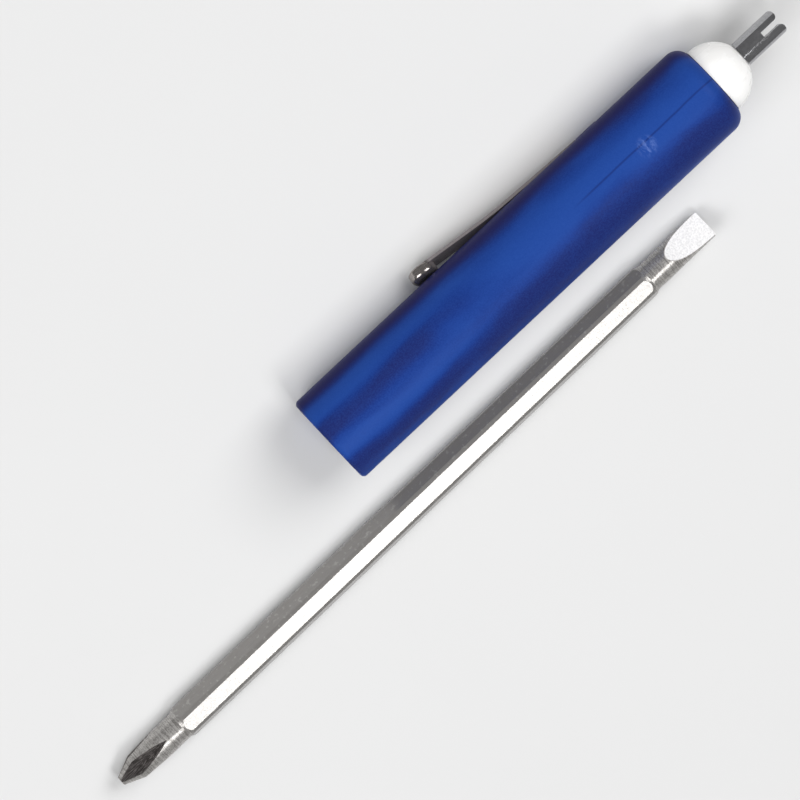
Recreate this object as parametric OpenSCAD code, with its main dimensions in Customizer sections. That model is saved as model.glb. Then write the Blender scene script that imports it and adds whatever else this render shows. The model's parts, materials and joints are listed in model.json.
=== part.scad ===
// Pocket screwdriver with a reversible blade, a spring clip and a tyre valve core tool.
// The handle lies on its side along X with its mouth at the origin and its top towards +X.
// The blade is drawn out of its socket and lies on a flat beside the handle.

/* [Handle] */
// Length from the mouth to the top face
handle_len = 65.7; // [60:0.1:80]
// Diameter
handle_d = 12.7; // [12:0.05:16]
// Rounding of the mouth edge
mouth_round = 0.6; // [0.3:0.05:1]
// Rounding of the shoulder
shoulder_round = 2.1; // [1:0.1:2.4]

/* [Blade socket] */
// Depth of the hexagon socket
socket_depth = 50; // [30:1:52]
// Play across the flats between the blade and the socket
socket_play = 0.1; // [0.05:0.01:0.2]
// Depth of the lead-in chamfer at the mouth
lead_in = 0.6; // [0.3:0.1:1.2]
// Radius of each of the three crush ribs that grip the blade
rib_r = 0.3; // [0.2:0.05:0.5]
// Height of a crush rib above its flat
rib_rise = 0.08; // [0.05:0.01:0.12]
// Length of a crush rib
rib_len = 18; // [8:1:28]

/* [End cap] */
// Radius of the dome
dome_r = 4.76; // [4.2:0.02:5.2]
// Height of the straight skirt below the dome
skirt_h = 0.2; // [0.1:0.05:0.5]
// Radius of the stem that plugs the handle
stem_r = 3; // [2.6:0.1:3.6]
// Length of the stem
stem_len = 8; // [6:0.5:10]
// Distance between the two flats that key the stem
stem_flats = 5.2; // [4.6:0.1:5.6]
// Chamfer at the end of the stem
stem_chamfer = 0.5; // [0.2:0.1:0.8]

/* [Valve tool] */
// Radius of the forked pin
tool_r = 1.75; // [1.5:0.05:2]
// Length that stands out of the dome
tool_out = 6.25; // [5:0.05:9]
// Radius of the thinner shank inside the cap
shank_r = 1.4; // [1.2:0.05:1.45]
// Depth of the shank below the dome's foot
shank_depth = 6.5; // [4:0.5:7]
// Distance between the two flats that key the shank
shank_flats = 2.3; // [2:0.1:2.35]
// Width of the slot that straddles a valve core
slot_w = 0.8; // [0.6:0.05:1]
// Depth of the slot
slot_depth = 2.85; // [2:0.05:4]
// Rounding of the prong tips
prong_round = 0.6; // [0.2:0.05:0.6]
// Diameter of the bore that clears the pin of a valve core
core_bore_d = 1.5; // [1.2:0.05:1.7]
// Depth of that bore
core_bore_depth = 3.6; // [3:0.1:5]
// Turn of the slot about the axis, from square to the clip
tool_turn = 20; // [0:1:45]

/* [Pocket clip] */
// Thickness of the spring strip
clip_t = 0.4; // [0.3:0.05:0.5]
// Width of the strip
clip_w = 3.2; // [2.8:0.1:4]
// Distance from the handle's top face to the slot that holds the strip
clip_from_top = 17.5; // [15:0.5:22]
// Length of the straight root below that slot
clip_root_len = 11.2; // [9:0.1:13]
// Length of the straight arm, to the end of the ball
clip_arm_len = 10.7; // [8:0.1:12]
// Radius of the bend between root and arm, at the inner face
clip_bend_r = 60; // [40:5:80]
// Slope of the root away from the handle's axis
clip_root_slope = 2.3; // [1.5:0.1:3]
// Depth of the strip's outer face below the handle's side at the slot
clip_sink = 0.12; // [0.08:0.02:0.2]
// Width of the tongue in the slot
tongue_w = 2; // [1.6:0.1:2.2]
// Length of the tongue in the slot
tongue_len = 3; // [2:0.1:3.2]
// Radius of the ball, a blunt cup that is pressed towards the handle
ball_r = 1.9; // [1.7:0.05:2.2]
// Depth of the ball from the strip's outer face
ball_depth = 1.6; // [1.4:0.05:1.9]
// Radius of the round between the ball's side and its nose
ball_round = 0.7; // [0.55:0.05:0.8]
// Radius of the round along the ball's rim
rim_round = 0.25; // [0.1:0.05:0.25]
// Gap between the middle of the ball's nose and the handle
ball_gap = 0.3; // [0.25:0.05:0.5]
// Opening angle that the slot leaves room for
clip_open = 5; // [3:0.5:6]

/* [Clip boss] */
// Rise of the boss over the slot above the handle's side
boss_rise = 0.2; // [0.15:0.05:0.4]
// Radius of the boss across the handle
boss_r = 4; // [3.5:0.1:5]
// Length of the boss
boss_len = 3.7; // [3.5:0.1:5]
// Length over which the boss fades at its upper end
boss_fade = 0.5; // [0.2:0.1:1]

/* [Blade] */
// Distance across the flats of the hexagon bar
hex_af = 4.25; // [3.6:0.05:4.6]
// Breadth by which the bar's corners are broken, along the radius
corner_break = 0.14; // [0.03:0.01:0.2]
// Length of the full hexagon between the shoulders' middles
hex_len = 80.55; // [70:0.05:90]
// Diameter of the turned necks
neck_d = 3.95; // [3.4:0.05:4.2]
// Length of each conical shoulder
neck_cone_len = 0.75; // [0.5:0.05:1.6]
// Length of the cross end, from its tip to the middle of the shoulder
cross_len = 10.65; // [9:0.05:14]
// Diameter of the blunt cross tip
cross_tip_d = 1.25; // [0.9:0.05:1.4]
// Half angle of the cross tip's cone
cross_half_angle = 26.5; // [24:0.5:30]
// Distance from the axis to the root of a flute, at the tip
flute_root = 0.42; // [0.35:0.01:0.5]
// Length of a flute from the tip to where it runs out
flute_len = 7.9; // [6:0.1:8.5]
// Turn of the flutes about the axis, from the flats
cross_turn = 14; // [0:1:45]
// Length of the slotted end, from the middle of the shoulder to its tip
slotted_len = 10.3; // [8.5:0.1:13]
// Length of the two hollow ground faces
ground_len = 6.7; // [5:0.1:7.5]
// Radius of the wheel that ground them
wheel_r = 20; // [16:1:40]
// Thickness of the slotted tip
slotted_tip_t = 0.8; // [0.6:0.05:1]
// Chamfer at the corners of the slotted tip
slotted_chamfer = 0.2; // [0.1:0.05:0.4]
// Turn of the ground faces about the axis, from the flats
slotted_turn = 27; // [0:1:45]

/* [Lay] */
// Middle of the blade along the handle's axis, from the mouth
blade_mid_x = 2.44; // [-10:0.02:20]
// Distance between the two axes, seen from above
blade_aside = 15.12; // [12:0.05:25]
// Angle between the two axes, seen from above
blade_skew = 0.54; // [0:0.02:3]

/* [Fits] */
// Gap round a piece that is pressed or pushed into its seat
seat_gap = 0.02; // [0.01:0.01:0.04]
// Gap round the clip's strip in its channel
channel_gap = 0.06; // [0.04:0.01:0.1]
// Space left below the end of a stem or a shank
end_space = 0.3; // [0.2:0.1:0.6]

/* [Hidden] */
$fn = 96;

// Overrun of a cut past the face that it opens
overrun = 1;
// Steps in the strip's long bend
bend_steps = 12;
// Facets of the grinding wheel's circle
wheel_fn = 720;

// Handle
handle_r = handle_d / 2;
socket_af = hex_af + socket_play;

// Valve tool: heights above the dome's foot of its own foot and its tip
pin_foot = skirt_h + sqrt(pow(dome_r, 2) - pow(shank_r, 2)) + seat_gap;
pin_len = skirt_h + dome_r + tool_out;

// Clip: the slope of the arm brings the ball to its gap above the handle's side
clip_x = handle_len - clip_from_top;
clip_seat_y = handle_r - clip_sink - clip_t;
ball_reach = clip_arm_len - ball_r;
ball_y = handle_r + ball_gap + ball_depth;
bend_rise = ball_y - clip_seat_y - clip_root_len * sin(clip_root_slope)
    - clip_bend_r * cos(clip_root_slope);
bend_arm = norm([ball_reach, clip_bend_r - clip_t]);
arm_slope = asin(bend_rise / bend_arm) + atan2(clip_bend_r - clip_t, ball_reach);
bend_deg = arm_slope - clip_root_slope;

// Lay: the handle rolls on its side until the rim of the ball meets the surface below
floor_gap = seat_gap;
rim_y = ball_y - rim_round;
rim_r = ball_r - rim_round;
clip_roll = asin((handle_r - floor_gap - rim_round) / norm([rim_y, rim_r])) - atan2(rim_r, rim_y);

// Blade: stations along its own axis from the cross tip
corner_r = hex_af / 2 / cos(30) - corner_break;
neck_r = neck_d / 2;
cross_tip_r = cross_tip_d / 2;
blade_len = cross_len + hex_len + slotted_len;
cross_cone_len = (neck_r - cross_tip_r) / tan(cross_half_angle);
flute_rise = neck_r - flute_root;
flute_wheel_r = (pow(flute_len, 2) + pow(flute_rise, 2)) / (2 * flute_rise);

// Wheel of the hollow grind: its centre, along and square to the axis, from the middle of the slotted
// tip, puts its rim through the edge of that tip and through the neck's side where the face starts
grind_rise = neck_r - slotted_tip_t / 2;
grind_chord = norm([ground_len, grind_rise]);
wheel_off = sqrt(pow(wheel_r, 2) - pow(grind_chord / 2, 2)) / grind_chord;
wheel_past = wheel_off * grind_rise - ground_len / 2;
wheel_aside = wheel_off * ground_len + (neck_r + slotted_tip_t / 2) / 2;

// Point in the strip's bend after some of its steps, at a radius about the bend's centre
function bend_point(k, r) =
    [-clip_root_len - r * sin(bend_deg * k / bend_steps),
     clip_bend_r - r * cos(bend_deg * k / bend_steps)];

// Turns a shape drawn up the Z axis to lie along X
module lengthwise() {
    rotate([0, 90, 0]) children();
}

// Rolls what belongs to the handle about its axis, from the clip level to as it lies
module as_laid() {
    rotate([-clip_roll, 0, 0]) children();
}

// Round bar with two flats, as a flat shape
module double_flat(r, flats) {
    intersection() {
        circle(r);
        square([flats, 2 * r], center = true);
    }
}

// Corner rounded by a circle, for an outline whose corners are cut straight
module corner_round(x, y, r) {
    translate([x, y]) circle(r);
}

// Half outline of the handle, to be turned about its axis
module handle_outline() {
    polygon([
        [0, 0],
        [handle_r - mouth_round, 0],
        [handle_r, mouth_round],
        [handle_r, handle_len - shoulder_round],
        [handle_r - shoulder_round, handle_len],
        [0, handle_len]
    ]);
    corner_round(handle_r - mouth_round, mouth_round, mouth_round);
    corner_round(handle_r - shoulder_round, handle_len - shoulder_round, shoulder_round);
}

// Hexagon socket with three crush ribs and a lead-in
module socket_room() {
    socket_corner_r = socket_af / 2 / cos(30);
    difference() {
        translate([0, 0, -overrun])
            cylinder(h = socket_depth + overrun, r = socket_corner_r, $fn = 6);
        for (turn = [30 : 120 : 270])
            rotate(turn)
                translate([socket_af / 2 + rib_r - rib_rise, 0, lead_in])
                    cylinder(h = rib_len, r = rib_r);
    }
    translate([0, 0, -overrun])
        cylinder(h = lead_in + overrun, r1 = socket_corner_r + lead_in + overrun, r2 = socket_corner_r);
}

// Seat of the end cap's stem
module stem_room() {
    translate([0, 0, handle_len - stem_len - end_space])
        linear_extrude(stem_len + end_space + overrun)
            double_flat(stem_r + seat_gap, stem_flats + 2 * seat_gap);
}

// Frame of the clip's root: its inner face is y = 0, and -x runs down the strip from the slot
module root_frame() {
    translate([clip_x, clip_seat_y, 0]) rotate(-clip_root_slope) children();
}

// Frame of the clip's arm, past the bend
module arm_frame() {
    root_frame()
        translate([-clip_root_len, clip_bend_r, 0])
            rotate(-bend_deg)
                translate([0, -clip_bend_r, 0])
                    children();
}

// Bar between two stations along the strip and two heights above its inner face
module bar(x0, x1, y0, y1, width) {
    translate([x0, y0, -width / 2]) cube([x1 - x0, y1 - y0, width]);
}

// Channel in the handle's side for the clip's root, open outwards
module clip_channel() {
    root_frame()
        bar(-clip_root_len - clip_arm_len, 0, -channel_gap, overrun, clip_w + 2 * channel_gap);
}

// Slot for the clip's tongue, with room to rock as the clip opens
module tongue_room() {
    for (open = [0, clip_open])
        root_frame()
            translate([0, clip_t, 0])
                rotate(-open)
                    bar(-channel_gap, tongue_len + channel_gap, -clip_t - channel_gap, channel_gap,
                        tongue_w + 2 * channel_gap);
}

// Low boss over the slot
module clip_boss() {
    translate([clip_x, handle_r + boss_rise - boss_r, 0])
        lengthwise() {
            cylinder(h = boss_len - boss_fade, r = boss_r);
            translate([0, 0, boss_len - boss_fade])
                cylinder(h = boss_fade, r1 = boss_r, r2 = boss_r - boss_rise);
        }
}

module handle() {
    color("royalblue")
        as_laid()
            difference() {
                union() {
                    lengthwise() rotate_extrude() handle_outline();
                    clip_boss();
                }
                lengthwise() {
                    socket_room();
                    stem_room();
                }
                clip_channel();
                tongue_room();
            }
}

// Half outline of the dome and its skirt
module dome_outline() {
    square([dome_r, skirt_h]);
    translate([0, skirt_h])
        intersection() {
            circle(dome_r);
            square(dome_r);
        }
}

// Stem with its flats and a chamfered end, below the dome's foot
module stem() {
    intersection() {
        translate([0, 0, -stem_len]) linear_extrude(stem_len) double_flat(stem_r, stem_flats);
        translate([0, 0, -stem_len])
            cylinder(h = stem_len, r1 = stem_r - stem_chamfer, r2 = stem_r - stem_chamfer + stem_len);
    }
}

module end_cap() {
    color("white")
        as_laid()
            lengthwise()
                translate([0, 0, handle_len])
                    difference() {
                        union() {
                            rotate_extrude() dome_outline();
                            stem();
                        }
                        rotate(tool_turn)
                            translate([0, 0, -shank_depth - end_space])
                                linear_extrude(shank_depth + end_space + pin_len)
                                    double_flat(shank_r + seat_gap, shank_flats + 2 * seat_gap);
                    }
}

// One prong of the fork, as a flat shape with a round tip at height h
module prong_outline(h) {
    inner = slot_w / 2;
    polygon([
        [inner, 0],
        [tool_r, 0],
        [tool_r, h - prong_round],
        [tool_r - prong_round, h],
        [inner + prong_round, h],
        [inner, h - prong_round]
    ]);
    corner_round(tool_r - prong_round, h - prong_round, prong_round);
    corner_round(inner + prong_round, h - prong_round, prong_round);
}

// Outline of the pin and its two prongs, seen through the slot
module fork_outline(h) {
    translate([-tool_r, 0]) square([2 * tool_r, h - slot_depth]);
    prong_outline(h);
    mirror([1, 0]) prong_outline(h);
}

// Forked pin with its foot on the dome
module fork() {
    difference() {
        intersection() {
            translate([0, 0, pin_foot]) cylinder(h = pin_len - pin_foot, r = tool_r);
            rotate([90, 0, 90])
                linear_extrude(2 * tool_r + overrun, center = true)
                    fork_outline(pin_len);
        }
        translate([0, 0, pin_len - core_bore_depth])
            cylinder(h = core_bore_depth + overrun, d = core_bore_d);
    }
}

module valve_tool() {
    color("silver")
        as_laid()
            lengthwise()
                translate([0, 0, handle_len])
                    rotate(tool_turn) {
                        fork();
                        translate([0, 0, -shank_depth])
                            linear_extrude(shank_depth + pin_foot)
                                double_flat(shank_r, shank_flats);
                    }
}

// Side outline of the strip from its slot round the bend to the middle of the ball
module strip_outline() {
    arm = ball_reach * [-cos(bend_deg), sin(bend_deg)];
    inner = [for (k = [0 : bend_steps]) bend_point(k, clip_bend_r)];
    outer = [for (k = [bend_steps : -1 : 0]) bend_point(k, clip_bend_r - clip_t)];
    polygon(concat(
        [[-2 * channel_gap, 0]],
        inner,
        [inner[bend_steps] + arm, outer[0] + arm],
        outer,
        [[-2 * channel_gap, clip_t]]
    ));
}

// Half outline of the ball, from its open side to its nose
module ball_outline() {
    polygon([
        [0, 0],
        [ball_r - rim_round, 0],
        [ball_r, rim_round],
        [ball_r, ball_depth - ball_round],
        [ball_r - ball_round, ball_depth],
        [0, ball_depth]
    ]);
    corner_round(ball_r - rim_round, rim_round, rim_round);
    corner_round(ball_r - ball_round, ball_depth - ball_round, ball_round);
}

// Half outline of the ball's hollow, one strip's thickness inside
module ball_hollow_outline() {
    hollow_r = ball_r - clip_t;
    hollow_depth = ball_depth - clip_t;
    hollow_round = ball_round - clip_t;
    translate([0, -overrun]) square([hollow_r, hollow_depth - hollow_round + overrun]);
    square([hollow_r - hollow_round, hollow_depth]);
    corner_round(hollow_r - hollow_round, hollow_depth - hollow_round, hollow_round);
}

// Turns an outline about the ball's axis, from the strip's outer face towards the handle
module turned_at_ball() {
    arm_frame()
        translate([-ball_reach, clip_t, 0])
            rotate([90, 0, 0])
                rotate_extrude()
                    children();
}

module pocket_clip() {
    color("gainsboro")
        as_laid()
            difference() {
                union() {
                    root_frame() {
                        bar(-tongue_len, tongue_len, 0, clip_t, tongue_w);
                        linear_extrude(clip_w, center = true) strip_outline();
                    }
                    turned_at_ball() ball_outline();
                }
                turned_at_ball() ball_hollow_outline();
            }
}

// Half outline of the blade's turned form, from the cross tip up
module blade_outline() {
    half_cone = neck_cone_len / 2;
    polygon([
        [0, 0],
        [cross_tip_r, 0],
        [neck_r, cross_cone_len],
        [neck_r, cross_len - half_cone],
        [corner_r, cross_len + half_cone],
        [corner_r, cross_len + hex_len - half_cone],
        [neck_r, cross_len + hex_len + half_cone],
        [neck_r, blade_len - slotted_chamfer],
        [neck_r - slotted_chamfer, blade_len],
        [0, blade_len]
    ]);
}

// Half outline of the square-edged wheel that cuts the flutes, to be turned about its axis
module flute_wheel_outline() {
    polygon([
        [flute_wheel_r - neck_d, -neck_d],
        [flute_wheel_r, 0],
        [flute_wheel_r - neck_d, neck_d]
    ]);
}

// Four flutes of the cross tip, each a square groove that runs out to the neck's side on a wheel's curve
module flutes() {
    for (turn = [0 : 90 : 270])
        rotate(turn - cross_turn)
            translate([flute_root + flute_wheel_r, 0, 0])
                rotate([90, 0, 0])
                    rotate_extrude() flute_wheel_outline();
}

// Two hollow ground faces of the slotted tip
module ground_faces() {
    for (side = [0, 180])
        rotate(side - slotted_turn)
            translate([wheel_aside, 0, blade_len + wheel_past])
                rotate([90, 0, 0])
                    cylinder(h = 2 * neck_d, r = wheel_r, center = true, $fn = wheel_fn);
}

module blade() {
    color("silver")
        translate([blade_mid_x, -blade_aside, hex_af / 2 - handle_r])
            rotate(blade_skew)
                translate([-blade_len / 2, 0, 0])
                    lengthwise()
                        difference() {
                            intersection() {
                                rotate_extrude() blade_outline();
                                rotate(30) cylinder(h = blade_len, r = hex_af / 2 / cos(30), $fn = 6);
                            }
                            flutes();
                            ground_faces();
                        }
}

handle();
end_cap();
valve_tool();
pocket_clip();
blade();
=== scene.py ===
import json
import math

import bpy
from mathutils import Matrix, Vector


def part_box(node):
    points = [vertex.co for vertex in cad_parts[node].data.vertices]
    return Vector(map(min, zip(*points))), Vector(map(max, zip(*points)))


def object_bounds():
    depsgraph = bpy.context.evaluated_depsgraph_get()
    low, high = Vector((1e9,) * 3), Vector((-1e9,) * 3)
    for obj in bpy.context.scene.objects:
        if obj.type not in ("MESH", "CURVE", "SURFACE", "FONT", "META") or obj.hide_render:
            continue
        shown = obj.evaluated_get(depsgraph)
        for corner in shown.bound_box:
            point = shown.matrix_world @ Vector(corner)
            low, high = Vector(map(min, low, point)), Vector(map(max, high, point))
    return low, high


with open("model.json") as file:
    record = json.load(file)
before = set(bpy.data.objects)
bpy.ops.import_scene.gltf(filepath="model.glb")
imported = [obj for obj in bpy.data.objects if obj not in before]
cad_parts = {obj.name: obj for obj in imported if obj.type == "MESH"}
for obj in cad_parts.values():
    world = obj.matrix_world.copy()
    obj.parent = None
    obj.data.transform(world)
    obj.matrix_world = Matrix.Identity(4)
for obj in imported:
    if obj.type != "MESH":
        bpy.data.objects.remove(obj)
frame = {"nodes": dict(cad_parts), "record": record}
solid_low, solid_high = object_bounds()

MM = 0.001

# Places on the pieces, in millimetres, taken from the frame
MOUNTS = {mount["name"]: Vector(mount["pos_m"]) / MM for mount in frame["record"]["mounts"]}
CROSS_TIP = MOUNTS["cross_tip"]
SLOTTED_TIP = MOUNTS["slotted_tip"]
BLADE = (CROSS_TIP + SLOTTED_TIP) / 2
BLADE_SKEW = (SLOTTED_TIP.y - CROSS_TIP.y) / (SLOTTED_TIP.x - CROSS_TIP.x)
CLIP_END_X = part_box("pocket_clip")[0].x / MM
TOP_END_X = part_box("handle")[1].x / MM

# Lengths of the finished zones, in millimetres from the end that each one starts at
CROSS_LEN = 10.65
SLOTTED_LEN = 10.3
GROUND_LEN = 6.9
BALL_END_LEN = 3.35
WELD_LEN, WELD_FADE = 19.7, 5.0
GLINT_IN = 11.8

# Where the zones end along the handle's axis, in millimetres
HEX_X0 = CROSS_TIP.x + CROSS_LEN
HEX_X1 = SLOTTED_TIP.x - SLOTTED_LEN
GROUND_X = SLOTTED_TIP.x - GROUND_LEN
BALL_END_X = CLIP_END_X + BALL_END_LEN
WELD_X = TOP_END_X - WELD_LEN
GLINT_X = TOP_END_X - GLINT_IN
FINE_BANDS_X, BROAD_BANDS_X = 10.0, 36.0

# Other sizes that the finishes follow, in millimetres
NECK_R = 1.975
CROSS_TIP_R = 0.625
CROSS_CONE = math.tan(math.radians(26.5))
GLINT_ASIDE = -0.55

# How soft the zones' borders are, and how far under the turned surface a cut face starts
EDGE = 0.1
CUT = 0.02

# The camera leans to the clip's side, and the handle's axis rises to the right in the picture
VIEW_LEAN = math.radians(19.4)
AXIS_RISE = math.radians(43.16)

# Turns about the handle's axis towards the clip, in radians from the camera's side
BROAD_TURN = 0.2
FINE_TURN = 0.66
# where the painted shade along the clip's side begins, is full, fades and ends
SHADE_START, SHADE_FULL, SHADE_FADE, SHADE_END = 0.72, 1.1, 1.5, 2.2

# The weld line's turn is taken from straight up
WELD_TURN = math.radians(21.7)

# Where a Mix node has its two ends and its result, for values and for colours
VALUE_ENDS, VALUE_RESULT = slice(2, 4), 0
COLOUR_ENDS, COLOUR_RESULT = slice(6, 8), 2


# Node helpers

def put(tree, kind, **settings):
    node = tree.nodes.new(kind)
    for name, value in settings.items():
        setattr(node, name, value)
    return node


def sock(node, name, value):
    node.inputs[name].default_value = value


def join(tree, source, target):
    tree.links.new(source, target)


def feed(tree, terms, spots):
    """Sets each socket to its number or colour, or links it to its other node's output."""
    for spot, term in zip(spots, terms):
        if isinstance(term, tuple):
            spot.default_value = (*term, 1.0)
        elif isinstance(term, (int, float)):
            spot.default_value = term
        else:
            join(tree, term, spot)


def sums(tree, operation, *terms):
    """A Math node. Each term is a number or another node's output."""
    node = put(tree, "ShaderNodeMath", operation=operation)
    feed(tree, terms, node.inputs)
    return node.outputs[0]


def times(tree, first, second):
    return sums(tree, "MULTIPLY", first, second)


def plus(tree, first, second):
    return sums(tree, "ADD", first, second)


def between(tree, value, low, high, to_low=0.0, to_high=1.0):
    """Maps value smoothly from low..high to to_low..to_high, and holds it at the ends."""
    node = put(tree, "ShaderNodeMapRange", interpolation_type="SMOOTHSTEP")
    join(tree, value, node.inputs["Value"])
    sock(node, "From Min", low)
    sock(node, "From Max", high)
    sock(node, "To Min", to_low)
    sock(node, "To Max", to_high)
    return node.outputs["Result"]


def stretched(tree, coordinates, scale):
    node = put(tree, "ShaderNodeMapping")
    join(tree, coordinates, node.inputs["Vector"])
    sock(node, "Scale", scale)
    return node.outputs["Vector"]


def noise(tree, coordinates, scale, detail=2.0, rough=0.5, distort=0.0):
    """A noise from 0 to 1. The scale is a number or another node's output."""
    node = put(tree, "ShaderNodeTexNoise")
    join(tree, coordinates, node.inputs["Vector"])
    feed(tree, (scale,), (node.inputs["Scale"],))
    sock(node, "Detail", detail)
    sock(node, "Roughness", rough)
    sock(node, "Distortion", distort)
    return node.outputs["Fac"]


def blended(tree, share, first, second):
    """Mixes two colours by a mask. Each colour is a tuple or another node's output."""
    node = put(tree, "ShaderNodeMix", data_type="RGBA")
    join(tree, share, node.inputs[0])
    feed(tree, (first, second), node.inputs[COLOUR_ENDS])
    return node.outputs[COLOUR_RESULT]


def mixed(tree, share, first, second):
    """Mixes two values by a mask. Each value is a number or another node's output."""
    node = put(tree, "ShaderNodeMix", data_type="FLOAT")
    join(tree, share, node.inputs[0])
    feed(tree, (first, second), node.inputs[VALUE_ENDS])
    return node.outputs[VALUE_RESULT]


def bumped(tree, height, distance, strength):
    node = put(tree, "ShaderNodeBump")
    join(tree, height, node.inputs["Height"])
    sock(node, "Distance", distance)
    sock(node, "Strength", strength)
    return node.outputs["Normal"]


def split(tree, coordinates):
    node = put(tree, "ShaderNodeSeparateXYZ")
    join(tree, coordinates, node.inputs[0])
    return node.outputs


def effect(name, inputs, outputs):
    """An empty shader node group with named sockets. Returns it with its input and output sockets."""
    group = bpy.data.node_groups.new(name, "ShaderNodeTree")
    group.interface.new_socket("Vector", in_out="INPUT", socket_type="NodeSocketVector")
    for socket in inputs:
        group.interface.new_socket(socket, in_out="INPUT", socket_type="NodeSocketFloat")
    for socket in outputs:
        group.interface.new_socket(socket, in_out="OUTPUT", socket_type="NodeSocketFloat")
    return group, put(group, "NodeGroupInput").outputs, put(group, "NodeGroupOutput").inputs


def placed(tree, group, coordinates, **values):
    node = put(tree, "ShaderNodeGroup", node_tree=group)
    join(tree, coordinates, node.inputs["Vector"])
    for name, value in values.items():
        sock(node, name, value)
    return node.outputs


def finish_of(name):
    """A new material, with its tree, its surface shader and Object coordinates in millimetres."""
    material = bpy.data.materials.new(name)
    material.use_nodes = True
    tree = material.node_tree
    shader = tree.nodes["Principled BSDF"]
    place = put(tree, "ShaderNodeTexCoord").outputs["Object"]
    return material, tree, shader, stretched(tree, place, (1.0 / MM, 1.0 / MM, 1.0 / MM))


# Shared surface effects

def moulding_skin():
    """The skin of a plastic moulding: soft clouds along the flow, fine mottling and a faint peel."""
    group, given, out = effect("moulding_skin", ("Clouds", "Mottle"), ("Cloud", "Mottle", "Peel"))
    drawn = stretched(group, given["Vector"], (0.3, 1.0, 1.0))
    cloud = noise(group, drawn, given["Clouds"], 2.0, 0.5, 0.4)
    join(group, between(group, cloud, 0.3, 0.7), out["Cloud"])
    mottle = noise(group, given["Vector"], given["Mottle"], 3.0, 0.7)
    join(group, between(group, mottle, 0.3, 0.7), out["Mottle"])
    join(group, noise(group, given["Vector"], 2.2), out["Peel"])
    return group


def steel_grain():
    """Drawing lines along a bar, the specks of a plated finish and broad smudges."""
    group, given, out = effect("steel_grain", ("Lines", "Specks"), ("Line", "Speck", "Smudge"))
    drawn = stretched(group, given["Vector"], (0.04, 1.0, 1.0))
    line = noise(group, drawn, given["Lines"], 4.0, 0.65)
    join(group, between(group, line, 0.25, 0.75), out["Line"])
    speck = noise(group, given["Vector"], given["Specks"], 5.0, 0.75)
    join(group, between(group, speck, 0.35, 0.68), out["Speck"])
    smudge = noise(group, given["Vector"], 0.16)
    join(group, between(group, smudge, 0.35, 0.7), out["Smudge"])
    return group


SKIN = moulding_skin()
GRAIN = steel_grain()


# Handle

def pearl_bands_with_painted_shade(tree, place, x, around, cloud):
    """A mask of the pearl: three broad bands along the handle, which break into six by the mouth. Laid
    out from the camera's side, they also paint light on the face towards the camera and shade towards
    its edges.
    """
    drift = plus(tree, noise(tree, stretched(tree, place, (0.06, 0.2, 0.2)), 1.0, 1.0), -0.5)
    broad = plus(tree, times(tree, plus(tree, around, -BROAD_TURN), 3.0), times(tree, drift, 2.0))
    fine = plus(tree, times(tree, plus(tree, around, -FINE_TURN), 6.0), times(tree, drift, 3.0))
    to_top = between(tree, x, FINE_BANDS_X, BROAD_BANDS_X)
    band = mixed(tree, to_top, sums(tree, "COSINE", fine), sums(tree, "COSINE", broad))
    return between(tree, plus(tree, band, times(tree, cloud, 0.6)), -1.2, 1.7)


def weld_line(tree, place, x, across, upper):
    """A mask of the thin line from the top end where the flow closed up again."""
    wander = times(tree, plus(tree, noise(tree, place, 0.12), -0.5), 0.5)
    thin = between(tree, sums(tree, "ABSOLUTE", plus(tree, across, wander)), 0.2, 0.04)
    return times(tree, thin, times(tree, between(tree, x, WELD_X - WELD_FADE, WELD_X), upper))


def weld_painted_highlight(tree, place, x, across, upper):
    """A mask of the feathered pale spot on the weld line: a painted highlight where the seam's crease
    catches the light.
    """
    off_x = plus(tree, x, -GLINT_X)
    off_side = plus(tree, across, -GLINT_ASIDE)
    spread = plus(tree, times(tree, off_x, off_x), times(tree, off_side, off_side))
    feather = noise(tree, stretched(tree, place, (1.5, 0.7, 0.7)), 1.0, 4.0, 0.7, 0.4)
    spot = times(tree, between(tree, spread, 2.6, 0.0), upper)
    return times(tree, spot, between(tree, feather, 0.4, 0.7))


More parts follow.
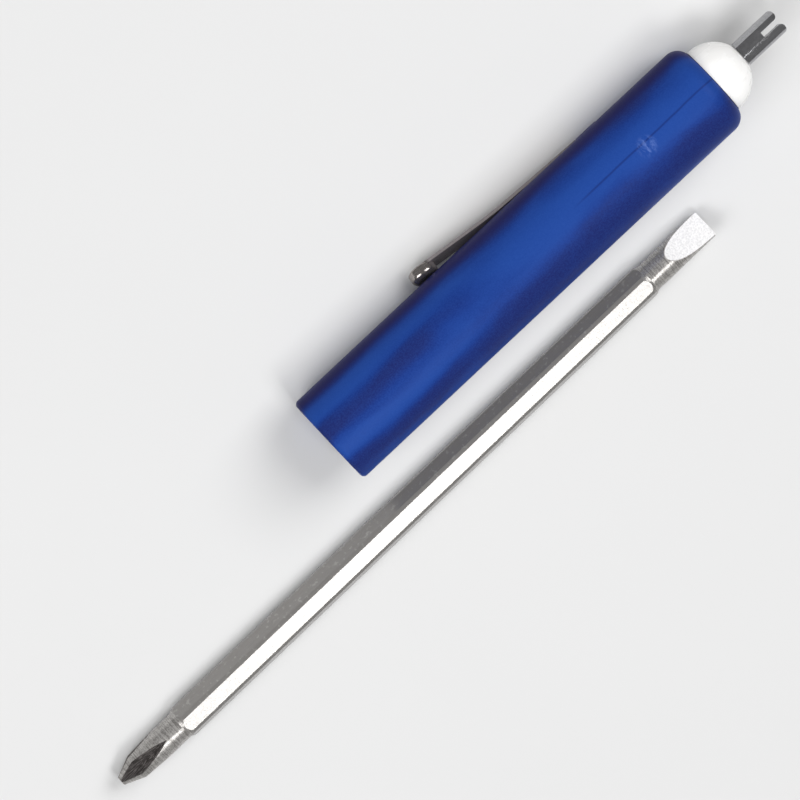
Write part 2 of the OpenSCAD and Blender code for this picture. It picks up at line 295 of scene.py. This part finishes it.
def blue_moulding():
    """Pearly blue with lengthwise flow bands, finer by the mouth, which also hold painted light and
    shade, a painted shade along the clip's side, and a weld line from the top end with a painted
    highlight on it.
    """
    deep, royal, light = (0.0122, 0.019, 0.112), (0.0094, 0.0345, 0.207), (0.0145, 0.0565, 0.28)
    fleck, shade_purple = (0.028, 0.088, 0.38), (0.0092, 0.0054, 0.07)
    seam, pale = (0.01, 0.028, 0.16), (0.12, 0.2, 0.52)
    material, tree, shader, place = finish_of("pearl_blue_moulding")
    skin = placed(tree, SKIN, place, Clouds=0.3, Mottle=5.0)
    x, y, z = split(tree, place)
    around = plus(tree, sums(tree, "ARCTAN2", y, z), -VIEW_LEAN)

    # the bands stand partly for the real flow of the pearl and partly for painted light towards the
    # camera and painted shade at the edges
    pearl_and_shade = pearl_bands_with_painted_shade(tree, place, x, around, skin["Cloud"])
    body = blended(tree, between(tree, pearl_and_shade, 0.0, 0.6), deep, royal)
    body = blended(tree, between(tree, pearl_and_shade, 0.4, 1.0), body, light)
    body = blended(tree, times(tree, skin["Mottle"], 0.22), body, fleck)

    # painted shade: a darker purple band along the clip's side, where the edge turns away from the
    # lamps
    begun = between(tree, around, SHADE_START, SHADE_FULL)
    painted_shade_streak = times(tree, begun, between(tree, around, SHADE_END, SHADE_FADE))
    body = blended(tree, times(tree, painted_shade_streak, 0.75), body, shade_purple)

    # the weld line and its painted highlight lie on the upper side only
    upper = between(tree, z, 0.0, 1.0)
    across = plus(tree, times(tree, y, math.cos(WELD_TURN)), times(tree, z, -math.sin(WELD_TURN)))
    weld = weld_line(tree, place, x, across, upper)
    body = blended(tree, times(tree, weld, 0.75), body, seam)
    painted_glint_spot = weld_painted_highlight(tree, place, x, across, upper)
    # painted highlight: a feathered pale spot on the weld line
    body = blended(tree, times(tree, painted_glint_spot, 0.75), body, pale)

    join(tree, body, shader.inputs["Base Color"])
    join(tree, between(tree, skin["Mottle"], 0.0, 1.0, 0.36, 0.46), shader.inputs["Roughness"])
    sunk = plus(tree, skin["Peel"], times(tree, weld, -0.8))
    height = plus(tree, times(tree, skin["Mottle"], 0.6), sunk)
    join(tree, bumped(tree, height, 0.01 * MM, 0.3), shader.inputs["Normal"])
    sock(shader, "Specular IOR Level", 0.04)
    return material


# End cap

def white_moulding():
    """Glossy white with a faint warm clouding."""
    warm, white = (0.935, 0.925, 0.91), (0.965, 0.96, 0.95)
    material, tree, shader, place = finish_of("gloss_white_moulding")
    skin = placed(tree, SKIN, place, Clouds=0.5, Mottle=3.0)
    join(tree, blended(tree, skin["Cloud"], warm, white), shader.inputs["Base Color"])
    join(tree, between(tree, skin["Cloud"], 0.0, 1.0, 0.22, 0.3), shader.inputs["Roughness"])
    join(tree, bumped(tree, skin["Peel"], 0.01 * MM, 0.15), shader.inputs["Normal"])
    return material


# Valve tool and clip

def plate(tree, shader, place, tone, worn, smooth, dull, shine, relief):
    """Plates a shader: tone and worn are its colours, smooth and dull its least and most roughness,
    shine its metal look and relief the depth of its grain in millimetres."""
    grain = placed(tree, GRAIN, place, Lines=7.0, Specks=3.0)
    body = blended(tree, times(tree, grain["Speck"], 0.5), tone, worn)
    body = blended(tree, times(tree, grain["Line"], 0.6), body, worn)
    join(tree, body, shader.inputs["Base Color"])
    wear = times(tree, plus(tree, grain["Smudge"], grain["Line"]), 0.5)
    join(tree, between(tree, wear, 0.0, 1.0, smooth, dull), shader.inputs["Roughness"])
    fleck = times(tree, plus(tree, grain["Speck"], -0.5), -0.16)
    join(tree, plus(tree, fleck, shine), shader.inputs["Metallic"])
    height = plus(tree, times(tree, grain["Line"], 0.7), times(tree, grain["Speck"], 0.3))
    join(tree, bumped(tree, height, relief * MM, 0.5), shader.inputs["Normal"])


def pin_steel():
    """The forked pin: bright plating that mirrors what is round it."""
    tone, worn = (0.44, 0.44, 0.45), (0.28, 0.28, 0.295)
    material, tree, shader, place = finish_of("plated_pin_steel")
    plate(tree, shader, place, tone, worn, smooth=0.03, dull=0.06, shine=0.86, relief=0.002)
    return material


def spring_steel():
    """The clip: a duller strip tinted a lighter mauve as a painted reflection of the blue handle, and a
    ball with more shine, painted darker as a painted reflection of dark surroundings.
    """
    strip_painted_reflection, strip_worn_reflection = (0.47, 0.43, 0.436), (0.34, 0.308, 0.315)
    ball_painted_dark_reflection, ball_worn_dark_reflection = (0.4, 0.37, 0.352), (0.27, 0.245, 0.24)
    strip_shine, ball_shine = 0.52, 0.8
    material, tree, shader, place = finish_of("plated_spring_steel")
    # painted reflection: the ball end is darker and the strip lighter and mauve
    ball_share = between(tree, split(tree, place)["X"], BALL_END_X + 3 * EDGE, BALL_END_X - 3 * EDGE)
    tone = blended(tree, ball_share, strip_painted_reflection, ball_painted_dark_reflection)
    worn = blended(tree, ball_share, strip_worn_reflection, ball_worn_dark_reflection)
    shine = mixed(tree, ball_share, strip_shine, ball_shine)
    plate(tree, shader, place, tone, worn, smooth=0.1, dull=0.18, shine=shine, relief=0.004)
    return material


# Blade

def blade_zones(tree, place):
    """Masks of the blade's hexagon bar, its ground faces and its flutes."""
    x, y, z = split(tree, place)
    skewed = times(tree, plus(tree, x, -BLADE.x), -BLADE_SKEW)
    aside = plus(tree, plus(tree, y, -BLADE.y), skewed)
    rise = plus(tree, z, -BLADE.z)
    radius = sums(tree, "SQRT", plus(tree, times(tree, aside, aside), times(tree, rise, rise)))

    past_cross = between(tree, x, HEX_X0 - EDGE, HEX_X0 + EDGE)
    bar = times(tree, past_cross, between(tree, x, HEX_X1 + EDGE, HEX_X1 - EDGE))
    inside = between(tree, radius, NECK_R - CUT, NECK_R - 3 * CUT)
    ground = times(tree, inside, between(tree, x, GROUND_X, GROUND_X + 2 * EDGE))

    # a flute lies deeper than the turned neck and the cone of its tip
    cone = plus(tree, times(tree, plus(tree, x, -CROSS_TIP.x), CROSS_CONE), CROSS_TIP_R)
    depth = plus(tree, sums(tree, "MINIMUM", cone, NECK_R), times(tree, radius, -1.0))
    before_hexagon = between(tree, x, HEX_X0, HEX_X0 - 10 * EDGE)
    flute = times(tree, between(tree, depth, CUT, 5 * CUT), before_hexagon)
    return bar, ground, flute


def blade_steel():
    """The plated bar: satin hexagon, turned necks, cross flutes darkened with painted shade under
    scoring lines, and a blasted slotted tip.
    """
    plated, satin_worn, drawn_dark = (0.285, 0.275, 0.264), (0.225, 0.216, 0.206), (0.185, 0.177, 0.169)
    pale, ring_light, ring_dark = (0.42, 0.41, 0.395), (0.47, 0.455, 0.437), (0.21, 0.2, 0.19)
    flute_painted_shade, flute_light = (0.045, 0.04, 0.038), (0.25, 0.23, 0.225)
    blast_light, blast_dark = (0.91, 0.9, 0.89), (0.735, 0.728, 0.721)
    material, tree, shader, place = finish_of("plated_blade_steel")
    grain = placed(tree, GRAIN, place, Lines=9.0, Specks=5.0)
    bar, ground, flute = blade_zones(tree, place)

    satin = blended(tree, grain["Speck"], plated, satin_worn)
    satin = blended(tree, times(tree, grain["Line"], 0.3), satin, drawn_dark)
    spots = between(tree, noise(tree, place, 1.8), 0.58, 0.7)
    satin = blended(tree, times(tree, spots, 0.45), satin, pale)
    rings = noise(tree, stretched(tree, place, (7.0, 0.3, 0.3)), 1.0, 3.0, 0.65)
    marks = between(tree, plus(tree, rings, times(tree, grain["Speck"], 0.25)), 0.45, 0.8)
    turned = blended(tree, marks, ring_light, ring_dark)
    # painted shade: the flutes' recesses are darkened, with lighter scoring lines along them
    scored_and_shaded = blended(tree, between(tree, grain["Line"], 0.35, 0.95), flute_painted_shade, flute_light)
    pits = between(tree, noise(tree, place, 4.4, 3.0, 0.6), 0.38, 0.66)
    blasted = blended(tree, pits, blast_light, blast_dark)
    body = blended(tree, bar, turned, satin)
    body = blended(tree, flute, body, scored_and_shaded)
    body = blended(tree, ground, body, blasted)
    join(tree, body, shader.inputs["Base Color"])

    shine = mixed(tree, bar, 0.46, between(tree, grain["Speck"], 0.0, 1.0, 0.36, 0.26))
    kept_shine = sums(tree, "SUBTRACT", 1.0, times(tree, ground, 0.9))
    join(tree, times(tree, shine, kept_shine), shader.inputs["Metallic"])
    dull = mixed(tree, bar, between(tree, grain["Smudge"], 0.0, 1.0, 0.24, 0.34), 0.18)
    dull = mixed(tree, flute, dull, 0.4)
    join(tree, mixed(tree, ground, dull, 0.75), shader.inputs["Roughness"])

    # turning marks round the necks, drawing grain along the hexagon, blasting on the tip
    drawn = plus(tree, times(tree, grain["Line"], 0.3), times(tree, grain["Speck"], 0.2))
    height = mixed(tree, bar, rings, drawn)
    height = mixed(tree, ground, height, times(tree, grain["Speck"], 2.0))
    join(tree, bumped(tree, height, 0.006 * MM, 0.6), shader.inputs["Normal"])
    return material


FINISHES = {
    "handle": blue_moulding(),
    "end_cap": white_moulding(),
    "valve_tool": pin_steel(),
    "pocket_clip": spring_steel(),
    "blade": blade_steel(),
}
for node, finish in FINISHES.items():
    slots = frame["nodes"][node].data.materials
    slots.clear()
    slots.append(finish)


# Camera, stage and light, in metres and watts. The sensor alone is in millimetres

DISTANCE = 1.3
FIELD = 99.8 * MM
SENSOR = 36.0
NEAREST = 0.05
AIM_X, AIM_ASIDE = 10.0 * MM, -2.33 * MM
FLOOR_SIZE = 4.0
FLOOR_GAP = 0.02 * MM
WORLD_GREY, WORLD_STRENGTH = (0.5, 0.5, 0.5, 1.0), 0.3
BOX_SLANT = 0.62, 0.15, 0.77
BOX_REACH, BOX_SIZE, BOX_POWER = 0.8, 0.5, 3.95
STRIP_SHIFT = -0.017
STRIP_REACH, STRIP_WIDTH, STRIP_LENGTH, STRIP_POWER = 0.7, 0.18, 0.24, 1.45

along = Vector((1.0, 0.0, 0.0))
toward = Vector((0.0, math.sin(VIEW_LEAN), math.cos(VIEW_LEAN)))
beside = Vector((0.0, math.cos(VIEW_LEAN), -math.sin(VIEW_LEAN)))
right = math.cos(AXIS_RISE) * along - math.sin(AXIS_RISE) * beside
above = math.sin(AXIS_RISE) * along + math.cos(AXIS_RISE) * beside
middle = AIM_X * along + AIM_ASIDE * beside


def set_camera():
    """A long lens that sees FIELD across at the aim."""
    data = bpy.data.cameras.new("camera")
    data.sensor_width = SENSOR
    data.lens = SENSOR * DISTANCE / FIELD
    data.clip_start = NEAREST
    camera = bpy.data.objects.new("camera", data)
    bpy.context.scene.collection.objects.link(camera)
    turn = Matrix((right, above, toward)).transposed().to_4x4()
    camera.matrix_world = Matrix.Translation(middle + DISTANCE * toward) @ turn
    bpy.context.scene.camera = camera


def lay_floor():
    grey, pale = (0.66, 0.66, 0.66), (0.68, 0.68, 0.68)
    bpy.ops.mesh.primitive_plane_add(size=FLOOR_SIZE, location=(0.0, 0.0, solid_low[2] - FLOOR_GAP))
    floor = bpy.context.object
    floor.name = "floor"
    material, tree, shader, place = finish_of("pale_floor")
    join(tree, blended(tree, noise(tree, place, 0.02), grey, pale), shader.inputs["Base Color"])
    sock(shader, "Roughness", 0.9)
    floor.data.materials.append(material)


def softbox(name, direction, distance, width, length, power):
    """A lamp of that size, which faces the camera's aim from that direction and distance."""
    data = bpy.data.lights.new(name, "AREA")
    data.shape = "RECTANGLE"
    data.size = width
    data.size_y = length
    data.energy = power
    lamp = bpy.data.objects.new(name, data)
    bpy.context.scene.collection.objects.link(lamp)
    way = Vector(direction).normalized()
    lamp.location = middle + distance * way
    lamp.rotation_mode = "QUATERNION"
    lamp.rotation_quaternion = way.to_track_quat("Z", "Y")


def light_studio():
    """Two softboxes past the ends of the pieces, and a strip that the blade's upper flat mirrors."""
    world = bpy.data.worlds.new("studio")
    bpy.context.scene.world = world
    world.use_nodes = True
    sock(world.node_tree.nodes["Background"], "Color", WORLD_GREY)
    sock(world.node_tree.nodes["Background"], "Strength", WORLD_STRENGTH)
    slant_x, slant_y, slant_z = BOX_SLANT
    for name, way in (("top_side", slant_x), ("mouth_side", -slant_x)):
        softbox(name, (way, slant_y, slant_z), BOX_REACH, BOX_SIZE, BOX_SIZE, BOX_POWER)
    mirrored = STRIP_SHIFT, -math.sin(VIEW_LEAN), math.cos(VIEW_LEAN)
    softbox("strip", mirrored, STRIP_REACH, STRIP_WIDTH, STRIP_LENGTH, STRIP_POWER)
    bpy.context.scene.view_settings.view_transform = "Standard"


set_camera()
lay_floor()
light_studio()
